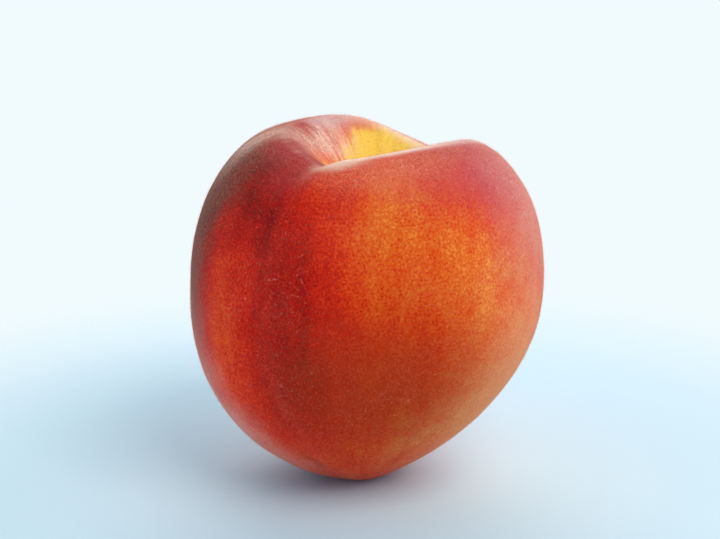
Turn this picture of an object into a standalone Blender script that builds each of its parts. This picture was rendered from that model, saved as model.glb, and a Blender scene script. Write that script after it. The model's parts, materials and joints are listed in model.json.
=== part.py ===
"""A ripe peach: one solid fruit, standing on the small flat spot under its tip.

Lengths are in metres and +Z is up. The origin is the middle of the flat spot, on the surface that
the fruit stands on. The fruit is drawn round its own axis, which runs from the tip up through the
stem cavity, and is then leaned over and stood on its flat spot. Directions round the axis are in
degrees from the suture, the long groove down one side: 90 is the middle of the near cheek and -90
the middle of the far one. Heights are over the middle of the fruit, where it is widest.
"""

import math
from dataclasses import dataclass

import bmesh
import bpy
import numpy as np
from mathutils import Matrix


@dataclass(frozen=True)
class Girth:
    """A size that changes smoothly round the axis.

    It gains `gain` towards one side and loses it on the opposite one. It gains `twin_gain` towards
    two opposite sides and loses it halfway between them.
    """

    mean: float
    gain: float = 0.0
    side: float = 0.0
    twin_gain: float = 0.0
    twin_side: float = 0.0

    def at(self, around):
        """The size in each direction, for an array of angles from the suture in radians."""
        one_side = self.gain * np.cos(around - math.radians(self.side))
        two_sides = self.twin_gain * np.cos(2 * (around - math.radians(self.twin_side)))
        return self.mean + one_side + two_sides


@dataclass(frozen=True)
class Folds:
    """Shallow waves along the crest: how many go round, where one of them tops, and their rise."""

    count: int
    side: float
    rise: float


@dataclass(frozen=True)
class Swelling:
    """A low rise of the flesh: the direction and height of its middle, its reach and its rise."""

    side: float
    height: float
    reach: float
    rise: float


# How the fruit stands: where its suture faces, counted from +X, and how far it leans and where to.
SUTURE_AZIMUTH = -130.5
LEAN = 4.0
LEAN_AZIMUTH = 10.0
FLAT_SPOT_DEPTH = 0.0012

# The crest is the rim of the stem cavity. It stands higher on the cheeks than at the suture.
CREST_RADIUS = Girth(0.0190, gain=0.0042, side=20)
CREST_HEIGHT = Girth(0.0294, gain=0.0014, side=-25, twin_gain=0.0029, twin_side=79)
CREST_FOLDS = (Folds(count=3, side=87, rise=0.0009), Folds(count=5, side=110, rise=0.0003))
FOLD_REACH = 0.010

# The widest ring, and how far the skin keeps its direction above and below it.
WIDEST_RADIUS = Girth(0.0370, gain=0.0025, side=-61, twin_gain=0.0004, twin_side=81)
WIDEST_HEIGHT = Girth(0.0, gain=0.0011, side=63)
SHOULDER_TOP = 0.0089
SHOULDER_SIDE = Girth(0.0183, gain=0.0012, side=-97)
FLANK_SIDE = Girth(0.0253, gain=0.0031, side=-103, twin_gain=0.0027, twin_side=-57)

# The tip is blunt and a little drawn out.
TIP_DROP = 0.0455
TIP_DRAW = 0.0020
TIP_BREADTH = Girth(0.0164, gain=0.0083, side=-70)

# The stem cavity, and the scar that the stem leaves on its floor.
CAVITY_DEPTH = 0.0140
CAVITY_FLOOR_REACH = 0.0085
CAVITY_RIM_REACH = 0.0055
SCAR_RADIUS = 0.0026
SCAR_LIP_WIDTH = 0.0007
SCAR_LIP_RISE = 0.0005
SCAR_PIT = 0.0008

# The suture is a faint groove down the flank, and a deep one where it runs over the crest. It is
# bowed: towards its ends it turns by so many degrees to the near cheek.
GROOVE_WIDTH = 0.0034
GROOVE_DEPTH = 0.0006
GROOVE_CREST_DEPTH = 0.0015
GROOVE_CREST_REACH = 0.012
GROOVE_FADE_RADIUS = 0.008
GROOVE_BOW = 12.0

SWELLINGS = (
    Swelling(side=48, height=0.004, reach=0.016, rise=0.0004),
    Swelling(side=118, height=-0.012, reach=0.015, rise=0.0004),
    Swelling(side=-150, height=0.010, reach=0.017, rise=0.0006),
    Swelling(side=-60, height=-0.016, reach=0.014, rise=0.0004),
)

# The mesh. Its columns crowd towards the suture, so that the groove is round there, and a point
# nearer to the flat spot's cut than a sliver is moved onto it.
COLUMNS = 80
CROWDING = 0.5
CAVITY_RINGS = 14
SHOULDER_RINGS = 9
FLANK_RINGS = 17
SLIVER = 0.00015

SKIN_COLOUR = (0.55, 0.10, 0.03, 1.0)
SKIN_ROUGHNESS = 0.65


def clear_scene():
    """Remove whatever the scene holds."""
    for old in list(bpy.data.objects):
        bpy.data.objects.remove(old, do_unlink=True)


def column_angles():
    """The angle of each column of the mesh from the suture, from -pi to pi."""
    even = math.pi * (2 * np.arange(COLUMNS) / COLUMNS - 1)
    return even - CROWDING * np.sin(even)


def ring(radius, height):
    """A ring's outline: a pair of radius and height for each column."""
    return np.stack(np.broadcast_arrays(radius, height), axis=-1)


def curve(start, leave, arrive, end, steps):
    """A cubic curve down each column, from its start up to, but without, its end."""
    t = (np.arange(steps) / steps)[:, None, None]
    near_start = start * (1 - t) ** 3 + 3 * leave * t * (1 - t) ** 2
    near_end = 3 * arrive * t**2 * (1 - t) + end * t**3
    return near_start + near_end


def smooth_rings(around):
    """The outline of every ring from the cavity's floor down to the tip, before any relief."""
    axis = np.zeros_like(around)
    floor = ring(axis, CREST_HEIGHT.mean - CAVITY_DEPTH)
    crest = ring(CREST_RADIUS.at(around), CREST_HEIGHT.at(around))
    widest = ring(WIDEST_RADIUS.at(around), WIDEST_HEIGHT.at(around))
    tip = ring(axis, -TIP_DROP)
    across_floor = floor + ring(CAVITY_FLOOR_REACH, 0)
    inside_rim = crest - ring(CAVITY_RIM_REACH, 0)
    outside_rim = crest + ring(SHOULDER_TOP, 0)
    above_widest = widest + ring(0, SHOULDER_SIDE.at(around))
    below_widest = widest - ring(0, FLANK_SIDE.at(around))
    beside_tip = tip + ring(TIP_BREADTH.at(around), TIP_DRAW)
    return np.concatenate(
        [
            curve(floor, across_floor, inside_rim, crest, CAVITY_RINGS),
            curve(crest, outside_rim, above_widest, widest, SHOULDER_RINGS),
            curve(widest, below_widest, beside_tip, tip, FLANK_RINGS),
        ]
    )


def bell(distance, reach):
    """1 at no distance, falling off smoothly round the reach."""
    return np.exp(-((distance / reach) ** 2))


def add_folds(outline, around, from_crest):
    """Raise and lower the crest a little, as many times round as each set of folds says."""
    for folds in CREST_FOLDS:
        wave = np.cos(folds.count * (around - math.radians(folds.side)))
        outline[..., 1] += folds.rise * wave * bell(from_crest, FOLD_REACH)


def cut_groove(outline, around, from_crest):
    """Sink the suture towards the middle of the fruit."""
    radius, height = outline[..., 0], outline[..., 1]
    course = math.radians(GROOVE_BOW) * (height / TIP_DROP) ** 2
    across = bell((around - course) * radius, GROOVE_WIDTH)
    crest_depth = GROOVE_CREST_DEPTH * bell(from_crest, GROOVE_CREST_REACH)
    fade = 1 - bell(radius, GROOVE_FADE_RADIUS)
    depth = (GROOVE_DEPTH + crest_depth) * across * fade
    inward = outline / np.linalg.norm(outline, axis=-1, keepdims=True)
    outline -= depth[..., None] * inward


def mark_scar(outline):
    """Sink a pit with a raised lip into the middle of the cavity's floor."""
    radius = outline[:CAVITY_RINGS, :, 0]
    lip = SCAR_LIP_RISE * bell(radius - SCAR_RADIUS, SCAR_LIP_WIDTH)
    pit = SCAR_PIT * bell(radius, SCAR_RADIUS)
    outline[:CAVITY_RINGS, :, 1] += lip - pit


def stand_round(outline, around):
    """The points of the rings in space, round an upright axis with the suture towards +X."""
    radius, height = outline[..., 0], outline[..., 1]
    return np.stack([radius * np.cos(around), radius * np.sin(around), height], axis=-1)


def add_swellings(points):
    """Push the flesh out from the axis over each swelling."""
    outward = points * (1, 1, 0) / WIDEST_RADIUS.mean
    for swelling in SWELLINGS:
        side = math.radians(swelling.side)
        reach_out = WIDEST_RADIUS.mean * np.array([math.cos(side), math.sin(side), 0])
        middle = reach_out + (0, 0, swelling.height)
        distance = np.linalg.norm(points - middle, axis=-1, keepdims=True)
        points += swelling.rise * bell(distance, swelling.reach) * outward


def peach_points():
    """The points of every ring, a row for each ring, round an upright axis."""
    around = column_angles()
    outline = smooth_rings(around)
    crest = ring(CREST_RADIUS.at(around), CREST_HEIGHT.at(around))
    from_crest = np.linalg.norm(outline - crest, axis=-1)
    add_folds(outline, around, from_crest)
    cut_groove(outline, around, from_crest)
    mark_scar(outline)
    points = stand_round(outline, around)
    add_swellings(points)
    return points


def skin_over(points):
    """A closed mesh over the rings. The first ring has closed up to the middle of the scar."""
    shape = bmesh.new()
    scar_middle = shape.verts.new(points[0].mean(axis=0))
    tip = shape.verts.new((0, 0, -TIP_DROP))
    rows = [[shape.verts.new(point) for point in row] for row in points[1:]]
    for upper, lower in zip(rows, rows[1:]):
        for left in range(COLUMNS):
            right = (left + 1) % COLUMNS
            shape.faces.new((upper[left], lower[left], lower[right], upper[right]))
    for left in range(COLUMNS):
        right = (left + 1) % COLUMNS
        shape.faces.new((scar_middle, rows[0][left], rows[0][right]))
        shape.faces.new((tip, rows[-1][right], rows[-1][left]))
    return shape


def lean_over(shape):
    """Turn the suture to its side, and lean the fruit."""
    turn = Matrix.Rotation(math.radians(SUTURE_AZIMUTH), 4, "Z")
    towards = math.radians(LEAN_AZIMUTH)
    level_axis = (-math.sin(towards), math.cos(towards), 0)
    shape.transform(Matrix.Rotation(math.radians(LEAN), 4, level_axis) @ turn)


def cut_flat_spot(shape):
    """Cut the tip off level, and put the middle of the cut at the origin."""
    table = min(vertex.co.z for vertex in shape.verts) + FLAT_SPOT_DEPTH
    for vertex in shape.verts:
        if abs(vertex.co.z - table) < SLIVER:
            vertex.co.z = table
    everything = shape.verts[:] + shape.edges[:] + shape.faces[:]
    cut = {"plane_co": (0, 0, table), "plane_no": (0, 0, -1), "dist": SLIVER}
    bmesh.ops.bisect_plane(shape, geom=everything, clear_outer=True, **cut)
    rim = [edge for edge in shape.edges if edge.is_boundary]
    spot = bmesh.ops.contextual_create(shape, geom=rim)["faces"][0]
    middle = spot.calc_center_median_weighted()
    bmesh.ops.translate(shape, verts=shape.verts, vec=-middle)
    for vertex in spot.verts:
        vertex.co.z = 0


def skin_material():
    """The red and orange skin, matt with its down."""
    material = bpy.data.materials.new("peach_skin")
    material.use_nodes = True
    shader = material.node_tree.nodes["Principled BSDF"]
    shader.inputs["Base Color"].default_value = SKIN_COLOUR
    shader.inputs["Roughness"].default_value = SKIN_ROUGHNESS
    shader.inputs["Metallic"].default_value = 0.0
    return material


def build_peach():
    """The whole fruit, as the object `peach`."""
    shape = skin_over(peach_points())
    lean_over(shape)
    cut_flat_spot(shape)
    mesh = bpy.data.meshes.new("peach")
    shape.to_mesh(mesh)
    shape.free()
    mesh.shade_smooth()
    mesh.materials.append(skin_material())
    peach = bpy.data.objects.new("peach", mesh)
    bpy.context.scene.collection.objects.link(peach)


clear_scene()
build_peach()
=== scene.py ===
"""A ripe peach, standing on a pale table in soft daylight.

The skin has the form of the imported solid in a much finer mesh, with the puckers round the stem
cavity, the torn scar on the cavity's floor and the faint unevenness of the flesh. Its colour grows
from one number that varies all over it, the blush: none is yellow flesh, and more of it runs through
orange and red to maroon. The down of the peach stands on the skin as fine hairs.

Lengths are in metres, but places on the skin are in millimetres. A place is given by its side, in
degrees round the fruit's axis from the suture, and by how far down it lies along the skin from the
crest of the stem cavity. Places inside the cavity are less than no way down. A side of 90 degrees is
the middle of the near cheek, and -90 the middle of the far one.
"""

import json
import logging
import math
from dataclasses import dataclass, field
from enum import Enum
from typing import Any

import bpy
import numpy as np
from mathutils import Matrix, Vector, noise

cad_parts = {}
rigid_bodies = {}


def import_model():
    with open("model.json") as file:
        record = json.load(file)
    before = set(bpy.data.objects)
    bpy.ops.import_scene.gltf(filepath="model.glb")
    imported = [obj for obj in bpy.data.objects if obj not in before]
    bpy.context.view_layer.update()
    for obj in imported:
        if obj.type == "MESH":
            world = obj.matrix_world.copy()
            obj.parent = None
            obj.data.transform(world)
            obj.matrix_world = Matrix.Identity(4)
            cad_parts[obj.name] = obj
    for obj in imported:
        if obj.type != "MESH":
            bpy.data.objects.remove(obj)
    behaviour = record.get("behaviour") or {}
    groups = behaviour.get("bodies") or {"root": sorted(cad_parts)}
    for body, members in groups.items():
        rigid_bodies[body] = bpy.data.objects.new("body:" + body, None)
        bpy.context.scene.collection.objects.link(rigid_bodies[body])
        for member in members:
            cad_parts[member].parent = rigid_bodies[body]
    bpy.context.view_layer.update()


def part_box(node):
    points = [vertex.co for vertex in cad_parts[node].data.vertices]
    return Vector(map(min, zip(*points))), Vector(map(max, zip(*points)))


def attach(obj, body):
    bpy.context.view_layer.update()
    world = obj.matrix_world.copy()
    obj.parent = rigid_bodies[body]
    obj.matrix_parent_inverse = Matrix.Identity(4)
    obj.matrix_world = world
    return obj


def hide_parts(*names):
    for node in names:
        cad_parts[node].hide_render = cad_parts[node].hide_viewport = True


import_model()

log = logging.getLogger("peach")

Array = np.ndarray
Colour = tuple[float, float, float, float]
Point = tuple[float, float, float]
Step = tuple[float, float]

MILLIMETRES = 1000.0
TINY = 1e-12
DISPLAY_KNEE = 0.04045
DISPLAY_SLOPE = 12.92
DISPLAY_OFFSET = 0.055
DISPLAY_POWER = 2.4


def tone(red: int, green: int, blue: int) -> Colour:
    """The linear colour of a display colour.

    Args:
        red: The display's red, from 0 to 255.
        green: The display's green, from 0 to 255.
        blue: The display's blue, from 0 to 255.

    Returns:
        The linear red, green and blue, and a full alpha.
    """
    shown = np.array([red, green, blue]) / 255
    curved = ((shown + DISPLAY_OFFSET) / (1 + DISPLAY_OFFSET)) ** DISPLAY_POWER
    linear = np.where(shown <= DISPLAY_KNEE, shown / DISPLAY_SLOPE, curved)
    return (float(linear[0]), float(linear[1]), float(linear[2]), 1.0)


def bell(distance: Array, reach: float) -> Array:
    """1 at no distance, falling off smoothly round the reach."""
    return np.exp(-((distance / reach) ** 2))


def unit(vectors: Array) -> Array:
    """The vectors at a length of 1."""
    lengths = np.linalg.norm(vectors, axis=-1, keepdims=True)
    return vectors / np.maximum(lengths, TINY)


def put(name: str, data: bpy.types.ID) -> bpy.types.Object:
    """Put a new object with this data into the scene.

    Args:
        name: The object's name.
        data: Its mesh, lamp or camera.

    Returns:
        The object.
    """
    thing = bpy.data.objects.new(name, data)
    bpy.context.scene.collection.objects.link(thing)
    return thing


def new_material(name: str) -> tuple[bpy.types.Material, bpy.types.Node]:
    """Make a material.

    Args:
        name: The material's name.

    Returns:
        The material and its Principled shader.
    """
    material = bpy.data.materials.new(name)
    material.use_nodes = True
    return material, material.node_tree.nodes["Principled BSDF"]


# ---------------------------------------------------------------------------------- the fruit's form


@dataclass(frozen=True)
class Girth:
    """A size that changes smoothly round the axis.

    It gains `gain` towards one side and loses it on the opposite one. It gains `twin_gain` towards
    two opposite sides and loses it halfway between them.
    """

    mean: float
    gain: float = 0.0
    side: float = 0.0
    twin_gain: float = 0.0
    twin_side: float = 0.0

    def at(self, around: Array) -> Array:
        """The size in each direction.

        Args:
            around: Angles from the suture, in radians.

        Returns:
            The size at each angle.
        """
        one_side = self.gain * np.cos(around - math.radians(self.side))
        two_sides = self.twin_gain * np.cos(2 * (around - math.radians(self.twin_side)))
        return self.mean + one_side + two_sides


@dataclass(frozen=True)
class Folds:
    """Shallow waves along the crest: how many go round, where one of them tops, and their rise."""

    count: int
    side: float
    rise: float


@dataclass(frozen=True)
class Swelling:
    """A low rise of the flesh: the direction and height of its middle, its reach and its rise."""

    side: float
    height: float
    reach: float
    rise: float


@dataclass(frozen=True)
class Fruit:
    """The form of the peach round its own upright axis, by the sizes of its solid."""

    suture_azimuth: float = -130.5
    lean: float = 4.0
    lean_azimuth: float = 10.0
    crest_radius: Girth = Girth(0.0190, gain=0.0042, side=20)
    crest_height: Girth = Girth(0.0294, gain=0.0014, side=-25, twin_gain=0.0029, twin_side=79)
    crest_folds: tuple[Folds, ...] = (Folds(3, 87, 0.0009), Folds(5, 110, 0.0003))
    fold_reach: float = 0.010
    widest_radius: Girth = Girth(0.0370, gain=0.0025, side=-61, twin_gain=0.0004, twin_side=81)
    widest_height: Girth = Girth(0.0, gain=0.0011, side=63)
    shoulder_top: float = 0.0089
    shoulder_side: Girth = Girth(0.0183, gain=0.0012, side=-97)
    flank_side: Girth = Girth(0.0253, gain=0.0031, side=-103, twin_gain=0.0027, twin_side=-57)
    tip_drop: float = 0.0455
    tip_draw: float = 0.0020
    tip_breadth: Girth = Girth(0.0164, gain=0.0083, side=-70)
    cavity_depth: float = 0.0140
    cavity_floor_reach: float = 0.0085
    cavity_rim_reach: float = 0.0055
    scar_radius: float = 0.0026
    scar_lip_width: float = 0.0007
    scar_lip_rise: float = 0.0005
    scar_pit: float = 0.0008
    groove_width: float = 0.0034
    groove_depth: float = 0.0006
    groove_crest_depth: float = 0.0015
    groove_crest_reach: float = 0.012
    groove_fade_radius: float = 0.008
    groove_bow: float = 12.0
    swellings: tuple[Swelling, ...] = (
        Swelling(48, 0.004, 0.016, 0.0004),
        Swelling(118, -0.012, 0.015, 0.0004),
        Swelling(-150, 0.010, 0.017, 0.0006),
        Swelling(-60, -0.016, 0.014, 0.0004),
    )

    def crest(self, around: Array) -> Array:
        """The crest's outline: a pair of radius and height for each direction."""
        return self.ring(self.crest_radius.at(around), self.crest_height.at(around))

    @staticmethod
    def ring(radius: Array | float, height: Array | float) -> Array:
        """A ring's outline: a pair of radius and height for each direction."""
        return np.stack(np.broadcast_arrays(radius, height), axis=-1)

    @staticmethod
    def curve(start: Array, leave: Array, arrive: Array, end: Array, steps: int) -> Array:
        """A cubic curve down each column.

        Args:
            start: Where each column's curve starts.
            leave: The point that it leaves its start towards.
            arrive: The point that it reaches its end from.
            end: Where it ends.
            steps: How many points it has. The end is not one of them.

        Returns:
            A row of points for each step.
        """
        t = (np.arange(steps) / steps)[:, None, None]
        near_start = start * (1 - t) ** 3 + 3 * leave * t * (1 - t) ** 2
        near_end = 3 * arrive * t**2 * (1 - t) + end * t**3
        return near_start + near_end

    def smooth_rings(self, around: Array, steps: tuple[int, int, int]) -> Array:
        """The outline of every ring from the cavity's floor down to the tip, before any relief.

        Args:
            around: The direction of each column, in radians from the suture.
            steps: How many rings the cavity, the shoulder and the flank have.

        Returns:
            Pairs of radius and height, a row for each ring.
        """
        axis = np.zeros_like(around)
        floor = self.ring(axis, self.crest_height.mean - self.cavity_depth)
        crest = self.crest(around)
        widest = self.ring(self.widest_radius.at(around), self.widest_height.at(around))
        tip = self.ring(axis, -self.tip_drop)
        across_floor = floor + self.ring(self.cavity_floor_reach, 0)
        inside_rim = crest - self.ring(self.cavity_rim_reach, 0)
        outside_rim = crest + self.ring(self.shoulder_top, 0)
        above_widest = widest + self.ring(0, self.shoulder_side.at(around))
        below_widest = widest - self.ring(0, self.flank_side.at(around))
        beside_tip = tip + self.ring(self.tip_breadth.at(around), self.tip_draw)
        cavity, shoulder, flank = steps
        return np.concatenate(
            [
                self.curve(floor, across_floor, inside_rim, crest, cavity),
                self.curve(crest, outside_rim, above_widest, widest, shoulder),
                self.curve(widest, below_widest, beside_tip, tip, flank),
            ]
        )

    def add_folds(self, outline: Array, around: Array, from_crest: Array) -> None:
        """Raise and lower the crest a little, as many times round as each set of folds says.

        Args:
            outline: Pairs of radius and height for each ring, which it changes.
            around: The direction of each column.
            from_crest: How far each point lies from the crest.
        """
        for folds in self.crest_folds:
            wave = np.cos(folds.count * (around - math.radians(folds.side)))
            outline[..., 1] += folds.rise * wave * bell(from_crest, self.fold_reach)

    def groove(self, outline: Array, around: Array) -> Array:
        """How much of the suture's groove runs through each point.

        Args:
            outline: Pairs of radius and height for each ring.
            around: The direction of each column.

        Returns:
            The groove's share, from 0 to 1.
        """
        radius, height = outline[..., 0], outline[..., 1]
        course = math.radians(self.groove_bow) * (height / self.tip_drop) ** 2
        across = bell((around - course) * radius, self.groove_width)
        return across * (1 - bell(radius, self.groove_fade_radius))

    def cut_groove(self, outline: Array, groove: Array, from_crest: Array) -> None:
        """Sink the suture towards the middle of the fruit."""
        depth = self.groove_depth + self.groove_crest_depth * bell(from_crest, self.groove_crest_reach)
        outline -= (depth * groove)[..., None] * unit(outline)

    def mark_scar(self, outline: Array, cavity: int) -> None:
        """Sink a pit with a raised lip into the middle of the cavity's floor.

        Args:
            outline: Pairs of radius and height for each ring, which it changes.
            cavity: How many rings the cavity has.
        """
        radius = outline[:cavity, :, 0]
        lip = self.scar_lip_rise * bell(radius - self.scar_radius, self.scar_lip_width)
        pit = self.scar_pit * bell(radius, self.scar_radius)
        outline[:cavity, :, 1] += lip - pit

    def add_swellings(self, points: Array) -> None:
        """Push the flesh out from the axis over each swelling.

        Args:
            points: The points of every ring, which it moves.
        """
        outward = points * (1, 1, 0) / self.widest_radius.mean
        for swelling in self.swellings:
            side = math.radians(swelling.side)
            reach_out = self.widest_radius.mean * np.array([math.cos(side), math.sin(side), 0])
            middle = reach_out + (0, 0, swelling.height)
            distance = np.linalg.norm(points - middle, axis=-1, keepdims=True)
            points += swelling.rise * bell(distance, swelling.reach) * outward

    def points(self, around: Array, steps: tuple[int, int, int]) -> tuple[Array, Array]:
        """The points of every ring round an upright axis, with the suture towards +X.

        Args:
            around: The direction of each column, in radians from the suture.
            steps: How many rings the cavity, the shoulder and the flank have.

        Returns:
            The points, a row for each ring, and the share of the groove at each of them.
        """
        outline = self.smooth_rings(around, steps)
        from_crest = np.linalg.norm(outline - self.crest(around), axis=-1)
        self.add_folds(outline, around, from_crest)
        groove = self.groove(outline, around)
        self.cut_groove(outline, groove, from_crest)
        self.mark_scar(outline, steps[0])
        radius, height = outline[..., 0], outline[..., 1]
        points = np.stack([radius * np.cos(around), radius * np.sin(around), height], axis=-1)
        self.add_swellings(points)
        return points, groove

    def stance(self) -> Matrix:
        """How the fruit stands.

        Returns:
            The turn that points the suture to its side and leans the fruit.
        """
        turn = Matrix.Rotation(math.radians(self.suture_azimuth), 3, "Z")
        towards = math.radians(self.lean_azimuth)
        level_axis = (-math.sin(towards), math.cos(towards), 0)
        return Matrix.Rotation(math.radians(self.lean), 3, level_axis) @ turn


# -------------------------------------------------------------------------------------- shader nodes


@dataclass(frozen=True)
class Grain:
    """Cloudy noise: the size of its clouds, how many finer layers it has and how strong they are."""

    size: float
    detail: float
    rough: float


class Wiring:
    """Places nodes in one node tree and links them."""

    def __init__(self, tree: bpy.types.NodeTree) -> None:
        """Take the tree to work in."""
        self.tree = tree

    def add(self, kind: str, settings: dict[str, Any], inputs: dict[Any, Any]) -> bpy.types.Node:
        """Place a node.

        Args:
            kind: The node's type, without the words ShaderNode before it.
            settings: The node's own settings, by name.
            inputs: What each input, by name or number, is linked to or holds.

        Returns:
            The new node.
        """
        node = self.tree.nodes.new("ShaderNode" + kind)
        for name, value in settings.items():
            setattr(node, name, value)
        for name, value in inputs.items():
            if isinstance(value, bpy.types.NodeSocket):
                self.tree.links.new(value, node.inputs[name])
            else:
                node.inputs[name].default_value = value
        return node

    def group(self, tree: bpy.types.NodeTree, inputs: dict[str, Any]) -> Any:
        """The outputs of a node group that is placed with these inputs."""
        return self.add("Group", {"node_tree": tree}, inputs).outputs

    def attribute(self, name: str, output: str) -> Any:
        """What the mesh keeps under a name."""
        return self.add("Attribute", {"attribute_name": name}, {}).outputs[output]

    def math(self, operation: str, first: Any, second: Any = 0.0, third: Any = 0.0) -> Any:
        """The result of a sum on numbers."""
        inputs = {0: first, 1: second, 2: third}
        return self.add("Math", {"operation": operation}, inputs).outputs[0]

    def vector(self, operation: str, first: Any, second: Any = (0.0, 0.0, 0.0)) -> Any:
        """The result of a sum on vectors, which is a number for a length or a dot product."""
        node = self.add("VectorMath", {"operation": operation}, {0: first, 1: second})
        return node.outputs["Value" if operation in ("LENGTH", "DOT_PRODUCT") else "Vector"]

    def combine(self, x: Any, y: Any, z: Any) -> Any:
        """A vector of three numbers."""
        return self.add("CombineXYZ", {}, {0: x, 1: y, 2: z}).outputs[0]

    def ease(self, value: Any, low: Any, high: Any, start: Any = 0.0, end: Any = 1.0) -> Any:
        """A smooth step.

        Args:
            value: What it depends on.
            low: The value at which it leaves its start.
            high: The value at which it reaches its end.
            start: What it gives below the low value.
            end: What it gives above the high one.

        Returns:
            The eased number.
        """
        inputs = {"Value": value, "From Min": low, "From Max": high, "To Min": start, "To Max": end}
        settings = {"interpolation_type": "SMOOTHSTEP"}
        return self.add("MapRange", settings, inputs).outputs["Result"]

    def noise(self, place: Any, grain: Grain) -> Any:
        """Cloudy noise.

        Args:
            place: Where it is read.
            grain: Its grain, in the place's own units.

        Returns:
            The noise, from 0 to 1.
        """
        inputs = {
            "Vector": place,
            "Scale": 1 / grain.size,
            "Detail": grain.detail,
            "Roughness": grain.rough,
        }
        return self.add("TexNoise", {"noise_dimensions": "3D"}, inputs).outputs["Fac"]

    def swing(self, pattern: Any) -> Any:
        """How far a pattern that runs from 0 to 1 lies from its middle."""
        return self.math("SUBTRACT", pattern, 0.5)

    def mix(self, share: Any, under: Any, over: Any) -> Any:
        """One colour laid over another.

        Args:
            share: How much of the upper colour there is.
            under: The lower colour.
            over: The upper colour.

        Returns:
            The colour that they make.
        """
        settings = {"data_type": "RGBA", "clamp_factor": True}
        return self.add("Mix", settings, {0: share, 6: under, 7: over}).outputs[2]

    def ramp(self, value: Any, stops: tuple[tuple[float, Colour], ...]) -> Any:
        """The colour that a number has on a ramp of colours.

        Args:
            value: The number.
            stops: The ramp's places, from 0 to 1, and the colour at each.

        Returns:
            The colour.
        """
        node = self.add("ValToRGB", {}, {"Fac": value})
        node.color_ramp.interpolation = "LINEAR"
        elements = node.color_ramp.elements
        while len(elements) < len(stops):
            elements.new(stops[-1][0])
        for element, (position, colour) in zip(elements, stops):
            element.position = position
            element.color = colour
        return node.outputs["Color"]


class Effect:
    """A shader node group while it is being built."""

    def __init__(self, name: str, inputs: dict[str, str], outputs: dict[str, str]) -> None:
        """Make the group with its sockets.

        Args:
            name: The group's name.
            inputs: The type of each input socket, by name.
            outputs: The type of each output socket, by name.
        """
        self.tree = bpy.data.node_groups.new(name, "ShaderNodeTree")
        for way, sockets in (("INPUT", inputs), ("OUTPUT", outputs)):
            for socket, kind in sockets.items():
                self.tree.interface.new_socket(socket, in_out=way, socket_type="NodeSocket" + kind)
        self.wiring = Wiring(self.tree)
        self.inlet = self.tree.nodes.new("NodeGroupInput")
        self.outlet = self.tree.nodes.new("NodeGroupOutput")

    def read(self, socket: str) -> Any:
        """What comes in at an input."""
        return self.inlet.outputs[socket]

    def give(self, socket: str, value: Any) -> None:
        """Send a value out at an output."""
        self.tree.links.new(value, self.outlet.inputs[socket])


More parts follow.
